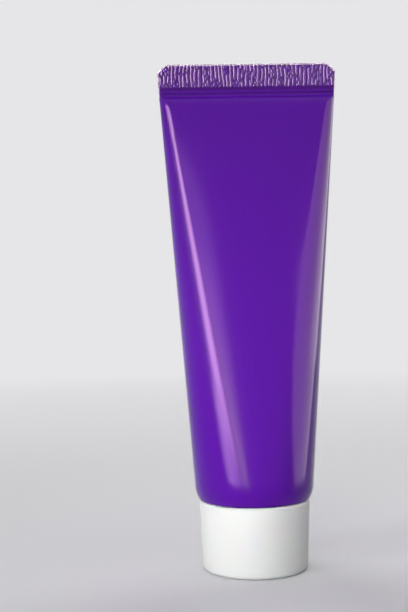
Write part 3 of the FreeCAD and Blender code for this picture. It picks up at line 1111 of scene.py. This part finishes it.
class Nozzle(Part):
    """Shoulder, neck and orifice, moulded in one, with the thread outside."""

    NAME = "ShoulderNozzle"
    NODE = "shoulder_nozzle"
    BODY = "tube"
    SLOT = "head_purple"
    FINISH = SHOULDER
    CREASE_DEG = 35.0
    SEGMENTS = 144
    FOOT_ROWS = 9

    def __init__(self, neck: NeckSizes, sleeve: SleeveSizes) -> None:
        """Keep the sizes of the neck and of the sleeve that it sits in."""
        self.neck = neck
        self.sleeve = sleeve

    def outline(self) -> np.ndarray:
        """Section of the moulding from the orifice round the shoulder and back inside.

        Returns:
            Radius and height of each point.
        """
        neck = self.neck
        bore = neck.radius - neck.wall
        edge_radius = neck.shoulder_radius - self.sleeve.foot_inset
        depth = neck.shoulder_top - neck.edge
        below = np.linspace(depth, 0, self.FOOT_ROWS)[1:]
        curve = neck.shoulder_radius - tuck(below, depth, self.sleeve.foot_inset)
        outer = zip(curve, neck.shoulder_top - below, np.zeros(len(below)))
        return rounded([
            (neck.orifice, neck.tip, 0.25 * MM),
            (neck.radius, neck.tip, 0.35 * MM),
            (neck.radius, neck.root, 0.6 * MM),
            (edge_radius, neck.edge, 0.2 * MM),
            *outer,
            (neck.shoulder_radius - neck.shoulder_wall, neck.shoulder_top, 0.0),
            (edge_radius - neck.shoulder_wall, neck.edge + neck.shoulder_wall, 0.0),
            (bore, neck.root + neck.shoulder_wall, 0.0),
            (bore, neck.tip + neck.orifice_wall, 0.0),
            (neck.orifice, neck.tip + neck.orifice_wall, 0.0),
        ])

    def shape(self) -> Shape:
        """Turn the outline and add the neck's thread.

        Returns:
            Points and blocks of faces.
        """
        neck = self.neck
        low = neck.tip + neck.thread_start
        thread = Thread(neck.radius - neck.bury, neck.radius + neck.thread_reach, low,
                        neck.root - neck.thread_stop - low)
        return joined([turned(self.outline(), self.SEGMENTS), thread.shape()])


@dataclass
class ScrewCap(Part):
    """The one-piece cap: tapered skirt, end, threaded collar, liner seat and ribs."""

    NAME = "ScrewCap"
    NODE = "screw_cap"
    BODY = "cap"
    SLOT = "cap_white"
    FINISH = POLYPROPYLENE
    CREASE_DEG = 35.0
    SEGMENTS = 192

    neck: NeckSizes
    taper: float = 0.75 * MM
    foot_round: float = 1.3 * MM
    rim_bevel: float = 0.7 * MM
    skirt_wall: float = 1.2 * MM
    end_wall: float = 1.4 * MM
    collar_wall: float = 1.5 * MM
    collar_drop: float = 2.1 * MM
    seat_width: float = 2.2 * MM
    thread_stop: float = 2.2 * MM
    rib_count: int = 6
    rib_wall: float = 0.9 * MM
    rib_drop: float = 4.1 * MM
    gate_radius: float = 1.6 * MM
    gate_depth: float = 0.25 * MM

    def __post_init__(self) -> None:
        """Read the cap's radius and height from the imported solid."""
        cap_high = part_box("screw_cap")[1]
        self.rim = cap_high.x
        self.height = cap_high.z
        self.foot = self.rim - self.taper
        self.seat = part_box("cap_liner")[0].z
        self.collar = self.neck.radius + self.neck.thread_reach + self.neck.thread_clearance
        self.collar_top = self.neck.root - self.collar_drop

    def outline(self) -> np.ndarray:
        """Section from the middle of the resting face, up the skirt and down inside.

        Returns:
            Radius and height of each point.
        """
        collar_outer = self.collar + self.collar_wall
        seat_radius = self.collar - self.seat_width
        return rounded([
            (0.0, self.gate_depth, 0.0),
            (self.gate_radius, self.gate_depth, 0.0),
            (self.gate_radius + self.gate_depth, 0.0, 0.2 * MM),
            (self.foot, 0.0, self.foot_round),
            (self.rim, self.height - self.rim_bevel, 0.3 * MM),
            (self.rim - self.rim_bevel / 2, self.height, 0.2 * MM),
            (self.rim - self.skirt_wall, self.height, 0.15 * MM),
            (self.foot - self.skirt_wall, self.end_wall, 0.6 * MM),
            (collar_outer, self.end_wall, 0.3 * MM),
            (collar_outer, self.collar_top, 0.2 * MM),
            (self.collar, self.collar_top, 0.4 * MM),
            (self.collar, self.seat, 0.0),
            (seat_radius, self.seat, 0.0),
            (seat_radius, self.end_wall, 0.0),
            (0.0, self.end_wall, 0.0),
        ], steps=7)

    def shape(self) -> Shape:
        """Turn the outline and add the collar's thread and the ribs.

        Returns:
            Points and blocks of faces.
        """
        neck = self.neck
        low = neck.tip + neck.thread_start + Thread.lead / 2
        thread = Thread(self.collar + neck.bury, neck.radius + neck.thread_clearance, low,
                        self.collar_top - self.thread_stop - low)
        inner = Vector((self.collar + self.collar_wall / 2, -self.rib_wall / 2, self.end_wall / 2))
        outer = Vector((self.rim - self.skirt_wall, self.rib_wall / 2, self.collar_top - self.rib_drop))
        rib_points, rib_blocks = block_shape(inner, outer)
        angles = [2 * math.pi * number / self.rib_count for number in range(self.rib_count)]
        ribs = [(turn_about_z(rib_points, angle), rib_blocks) for angle in angles]
        return joined([turned(self.outline(), self.SEGMENTS), thread.shape(), *ribs])


class Liner(Part):
    """The foam disc that lies on the cap's seat."""

    NAME = "CapLiner"
    NODE = "cap_liner"
    BODY = "liner"
    SLOT = "liner_foam"
    FINISH = FOAM
    CREASE_DEG = 40.0
    SEGMENTS = 96

    def shape(self) -> Shape:
        """Turn a flat disc whose edge is slightly rounded by the punch.

        Returns:
            Points and blocks of faces.
        """
        low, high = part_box("cap_liner")
        return turned(rounded([(0.0, low.z, 0.0), (high.x, low.z, 0.2 * MM),
                               (high.x, high.z, 0.35 * MM), (0.0, high.z, 0.0)]), self.SEGMENTS)


class Membrane(Part):
    """The foil disc on the nozzle's tip, with a half-round lift tab folded under it."""

    NAME = "SealMembrane"
    NODE = "foil_seal"
    BODY = "tube"
    SLOT = "foil_silver"
    FINISH = MEMBRANE
    CREASE_DEG = 30.0
    SEGMENTS = 96
    THICKNESS = 0.2 * MM
    TAB_MARGIN = 0.4 * MM
    TAB_MIDDLE = 0.02 * MM
    TAB_RINGS = 14
    TAB_SPOKES = 49
    CREASE = 0.05 * MM

    def shape(self) -> Shape:
        """Turn the disc, and lay the tab under it as a half disc with soft creases.

        Returns:
            Points and blocks of faces.
        """
        low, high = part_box("foil_seal")
        under_disc = high.z - self.THICKNESS
        line = np.array([(0.0, under_disc), (high.x, under_disc), (high.x, high.z), (0.0, high.z)])
        radius = np.linspace(self.TAB_MIDDLE, high.x - self.TAB_MARGIN, self.TAB_RINGS)[None, :]
        angle = np.linspace(-math.pi / 2, math.pi / 2, self.TAB_SPOKES)[:, None]
        x = radius * np.cos(angle)
        y = radius * np.sin(angle)
        creases = Ripple(seed=31, length_x=4 * MM, length_z=3 * MM)(x, y)
        under = np.stack([x, y, low.z + self.CREASE * (1 + creases) / 2], axis=2)
        over = np.stack([x, y, np.full_like(x, under_disc)], axis=2)
        under_index = numbers(under)
        over_index = under_index + x.size
        rim = np.concatenate([under_index[:, -1], under_index[-1, -2::-1],
                              under_index[-2::-1, 0], under_index[0, 1:-1]])
        tab = (np.concatenate([under.reshape(-1, 3), over.reshape(-1, 3)]),
               [grid_quads(under_index, closed=False),
                grid_quads(over_index, closed=False)[:, ::-1],
                grid_quads(np.stack([rim, rim + x.size]), closed=True)])
        return joined([turned(line, self.SEGMENTS), tab])


class Filling(Part):
    """The paste: it fills the sleeve, the shoulder, the neck and the orifice."""

    NAME = "PasteFilling"
    NODE = "toothpaste"
    BODY = "tube"
    SLOT = "paste_white"
    FINISH = PASTE
    CREASE_DEG = 30.0
    FACE_STEPS = 24
    END_STEPS = 20
    ROWS = 40
    SLACK = 0.04 * MM
    END_BELOW_SEAL = 2.0 * MM

    def __init__(self, sleeve: SleeveSizes, neck: NeckSizes) -> None:
        """Keep the sizes of what holds the paste."""
        self.sleeve = sleeve
        self.neck = neck

    def shape(self) -> Shape:
        """Stack round rows in the neck under the sleeve's inner sections, and close both ends.

        Returns:
            Points and blocks of faces.
        """
        sleeve, neck = self.sleeve, self.neck
        columns = Columns(np.linspace(-1, 1, self.FACE_STEPS + 1), self.END_STEPS)
        heights = np.linspace(sleeve.foot_top, sleeve.seal_low - self.END_BELOW_SEAL, self.ROWS)
        upper = SleeveSurface(sleeve).body(heights, columns, sleeve.wall + self.SLACK)
        bore = neck.radius - neck.wall
        step = neck.shoulder_wall
        rows = np.array([
            (neck.orifice, neck.tip),
            (neck.orifice, neck.tip + neck.orifice_wall),
            (bore, neck.tip + neck.orifice_wall),
            (bore, neck.root + step),
            (neck.shoulder_radius - sleeve.foot_inset - step, neck.edge + step),
            (neck.shoulder_radius - step, neck.shoulder_top),
        ])
        radii, levels = rows[:, 0, None], rows[:, 1, None]
        circle = upper[0, :, :2] / np.linalg.norm(upper[0, :, :2], axis=1, keepdims=True)
        x = (radii - self.SLACK) * circle[:, 0]
        y = (radii - self.SLACK) * circle[:, 1]
        lower = np.stack([x, y, np.broadcast_to(levels, x.shape)], axis=2)
        points = np.concatenate([lower, upper])
        index = numbers(points)
        lids = np.stack([index[0][::-1], index[-1]])
        return points.reshape(-1, 3), [grid_quads(index, closed=True), lids]




class Use(Enum):
    """What a lamp is for: all light, only reflections in gloss, or only plain light."""

    ALL = "all"
    SHEEN = "sheen"
    SHADE = "shade"


@dataclass(frozen=True)
class Lamp:
    """A soft rectangular lamp that faces the middle of the tube."""

    name: str
    azimuth_deg: float
    elevation_deg: float
    distance: float
    width: float
    tall: float
    radiance: float
    lean_deg: float = 0.0
    aim_height: float = 0.075
    slide: float = 0.0
    lift: float = 0.0
    spread_deg: float = 180.0
    use: Use = Use.ALL

    def build(self) -> None:
        """Place the lamp: azimuth 0 is in front of the tube, and 90 is at its right.

        The lean turns it about the line to the tube, and slide and lift shift it to a
        higher azimuth and upwards in its own plane. Its power is its radiance times its
        area times pi, less what a honeycomb grid takes out of the half sphere: with half
        the open angle a, the share 1 - a / tan(a) is left.
        """
        light = bpy.data.lights.new(self.name, "AREA")
        light.shape = "RECTANGLE"
        light.size = self.width
        light.size_y = self.tall
        open_half = math.radians(self.spread_deg) / 2
        left = 1 - open_half / math.tan(open_half)
        light.energy = self.radiance * self.width * self.tall * math.pi * left
        light.spread = math.radians(self.spread_deg)
        lamp = bpy.data.objects.new(self.name, light)
        azimuth = math.radians(self.azimuth_deg)
        elevation = math.radians(self.elevation_deg)
        outward = Vector((math.sin(azimuth) * math.cos(elevation),
                          -math.cos(azimuth) * math.cos(elevation),
                          math.sin(elevation)))
        facing = (-outward).to_track_quat("-Z", "Y").to_matrix().to_4x4()
        lean = Matrix.Rotation(math.radians(self.lean_deg), 4, "Z")
        aside = Vector((math.cos(azimuth), math.sin(azimuth), 0)) * self.slide
        aim = Vector((0, 0, self.aim_height))
        above = Vector((0, 0, self.lift))
        spot = aim + outward * self.distance + aside + above
        lamp.matrix_world = Matrix.Translation(spot) @ facing @ lean
        lamp.visible_camera = False
        lamp.visible_glossy = self.use is not Use.SHADE
        lamp.visible_diffuse = self.use is not Use.SHEEN
        bpy.context.scene.collection.objects.link(lamp)


def background_rays(tree: bpy.types.NodeTree) -> bpy.types.NodeSocket:
    """Tell the rays that see the pale studio: camera, glossy and transmitted ones.

    Args:
        tree: the node tree of the floor or the world.

    Returns:
        Socket that is 1 for such a ray and 0 for any other.
    """
    rays = add_node(tree, "LightPath").outputs
    through = add_node(tree, "Math", {"operation": "MAXIMUM"},
                       links={0: rays["Is Glossy Ray"], 1: rays["Is Transmission Ray"]})
    seen = add_node(tree, "Math", {"operation": "MAXIMUM"},
                    links={0: rays["Is Camera Ray"], 1: through.outputs[0]})
    return seen.outputs[0]


@dataclass(frozen=True)
class Studio:
    """Pale floor, plain world and soft lamps: keys at the left, panels at the right, and fills."""

    floor_half: float = 4.0
    floor_drop: float = 0.05 * MM
    floor_colour: str = "eeedf0"
    floor_bounce: str = "a4a3a6"
    backdrop_colour: str = "e6e5e8"
    world_light: float = 0.08
    fade_near: float = 0.05
    fade_far: float = 0.9
    # Azimuth and elevation in degrees, distance, width and height in metres, and radiance.
    lamps: tuple[Lamp, ...] = (
        Lamp("KeyCore", -36.5, 16.5, 0.62, 0.11, 0.35, 7.5, use=Use.SHEEN),
        Lamp("KeyStrip", -36.5, 15.5, 0.63, 0.20, 0.39, 8.5, use=Use.SHEEN),
        Lamp("KeySoft", -37.5, 14.5, 0.64, 0.30, 0.43, 5.0, use=Use.SHEEN),
        Lamp("KeyLow", -41, 0, 0.30, 0.14, 0.080, 4.5, aim_height=0.014, use=Use.SHEEN),
        Lamp("KeyLowCore", -42, 0, 0.31, 0.07, 0.070, 4.0, aim_height=0.014, use=Use.SHEEN),
        Lamp("KeyShoulder", -22, 1, 0.66, 0.20, 0.34, 2.0, use=Use.SHEEN),
        Lamp("KeyGlow", -16, 17.5, 0.68, 0.13, 0.49, 2.4, use=Use.SHEEN),
        Lamp("KeyShade", -56, 8, 0.60, 0.25, 0.25, 33.0, aim_height=0.085, spread_deg=22,
             use=Use.SHADE),
        Lamp("FrontFill", -19, 3, 0.60, 0.20, 0.20, 41.0, aim_height=0.022, spread_deg=27,
             use=Use.SHADE),
        Lamp("RightPanel", 90, 0, 0.15, 0.41, 0.22, 2.9, lean_deg=-28, aim_height=0.03,
             slide=-0.108, lift=0.132, use=Use.SHEEN),
        Lamp("RimPanel", 105, 0, 0.70, 0.50, 0.16, 1.0, lean_deg=-8, use=Use.SHEEN),
        Lamp("RightFill", 70, 25, 0.70, 0.40, 0.40, 0.6, aim_height=0.06, spread_deg=50,
             use=Use.SHADE),
        Lamp("TopSoft", 10, 76, 0.60, 0.50, 0.40, 1.3, use=Use.SHADE),
        Lamp("BackLeft", -140, 45, 0.80, 0.60, 0.60, 2.0),
        Lamp("BackRight", 150, 40, 0.80, 0.60, 0.60, 1.8),
    )

    def floor(self) -> None:
        """Make the floor.

        The camera sees it pale and light bounces off a mid grey. Far away, camera rays see
        it fade into the backdrop's colour.
        """
        half, low = self.floor_half, -self.floor_drop
        corners = np.array([(-half, -half, low), (half, -half, low),
                            (half, half, low), (-half, half, low)])
        material, tree = new_material("PaleFloor")
        place = add_node(tree, "TexCoord").outputs["Object"]
        away = add_node(tree, "VectorMath", {"operation": "LENGTH"}, links={0: place})
        fade = add_node(tree, "MapRange", {"interpolation_type": "SMOOTHSTEP"},
                        {"From Min": self.fade_near, "From Max": self.fade_far},
                        {"Value": away.outputs["Value"]})
        seen = background_rays(tree)
        share = add_node(tree, "Math", {"operation": "MULTIPLY"},
                         links={0: fade.outputs[0], 1: seen})
        colour = add_node(tree, "Mix", {"data_type": "RGBA"},
                          {6: linear(self.floor_bounce), 7: linear(self.floor_colour)}, {0: seen})
        card = add_node(tree, "BsdfDiffuse", links={"Color": colour.outputs[2]})
        glow = add_node(tree, "Emission", sockets={"Color": linear(self.backdrop_colour)})
        mix = add_node(tree, "MixShader",
                       links={0: share.outputs[0], 1: card.outputs[0], 2: glow.outputs[0]})
        add_node(tree, "OutputMaterial", links={"Surface": mix.outputs[0]})
        mesh_object("StudioFloor", corners, [np.array([[0, 1, 2, 3]])], material)

    def world(self) -> None:
        """Make the world: the backdrop's colour to the camera, and plain grey light."""
        world = bpy.data.worlds.new("StudioWorld")
        world.use_nodes = True
        tree = world.node_tree
        tree.nodes.clear()
        seen = background_rays(tree)
        light = add_node(tree, "Background",
                         sockets={"Color": (1, 1, 1, 1), "Strength": self.world_light})
        card = add_node(tree, "Background",
                        sockets={"Color": linear(self.backdrop_colour), "Strength": 1.0})
        mix = add_node(tree, "MixShader", links={0: seen, 1: light.outputs[0], 2: card.outputs[0]})
        add_node(tree, "OutputWorld", links={"Surface": mix.outputs[0]})
        bpy.context.scene.world = world

    def build(self) -> None:
        """Make the floor, the world and the lamps."""
        self.floor()
        self.world()
        for lamp in self.lamps:
            lamp.build()


@dataclass(frozen=True)
class Viewpoint:
    """The photograph's camera, fitted to the outline of the cap and of the sleeve."""

    distance: float = 0.300
    height: float = 0.0772
    aside: float = 0.0138
    turn_deg: float = 1.4
    roll_deg: float = 1.1
    focal_px: float = 1017.0
    picture_width_px: float = 408.0
    sensor_mm: float = 36.0
    clip_start: float = 0.01

    def build(self) -> None:
        """Place a level camera that looks along its own axis past the tube's left side."""
        data = bpy.data.cameras.new("PhotoCamera")
        data.sensor_fit = "HORIZONTAL"
        data.sensor_width = self.sensor_mm
        data.lens = self.focal_px / self.picture_width_px * self.sensor_mm
        data.clip_start = self.clip_start
        camera = bpy.data.objects.new("PhotoCamera", data)
        place = Matrix.Translation((-self.aside, -self.distance, self.height))
        level = Matrix.Rotation(math.pi / 2, 4, "X")
        roll = Matrix.Rotation(-math.radians(self.roll_deg), 4, "Z")
        turn = Matrix.Rotation(-math.radians(self.turn_deg), 4, "Z")
        camera.matrix_world = turn @ place @ level @ roll
        bpy.context.scene.collection.objects.link(camera)
        bpy.context.scene.camera = camera


def main() -> None:
    """Build the camera, the pieces and the studio."""
    logging.basicConfig(level=logging.INFO, format="%(name)s: %(message)s")
    bpy.context.scene.view_settings.view_transform = "Standard"
    Viewpoint().build()
    sleeve = SleeveSizes()
    neck = NeckSizes()
    parts = (Sleeve(sleeve), Nozzle(neck, sleeve), Membrane(), Filling(sleeve, neck), Liner(),
             ScrewCap(neck))
    for part in parts:
        piece = part.dress()
        LOG.info("%s: %d faces, on %s", piece.name, len(piece.data.polygons), part.BODY)
    Studio().build()


if __name__ == "__main__":
    main()
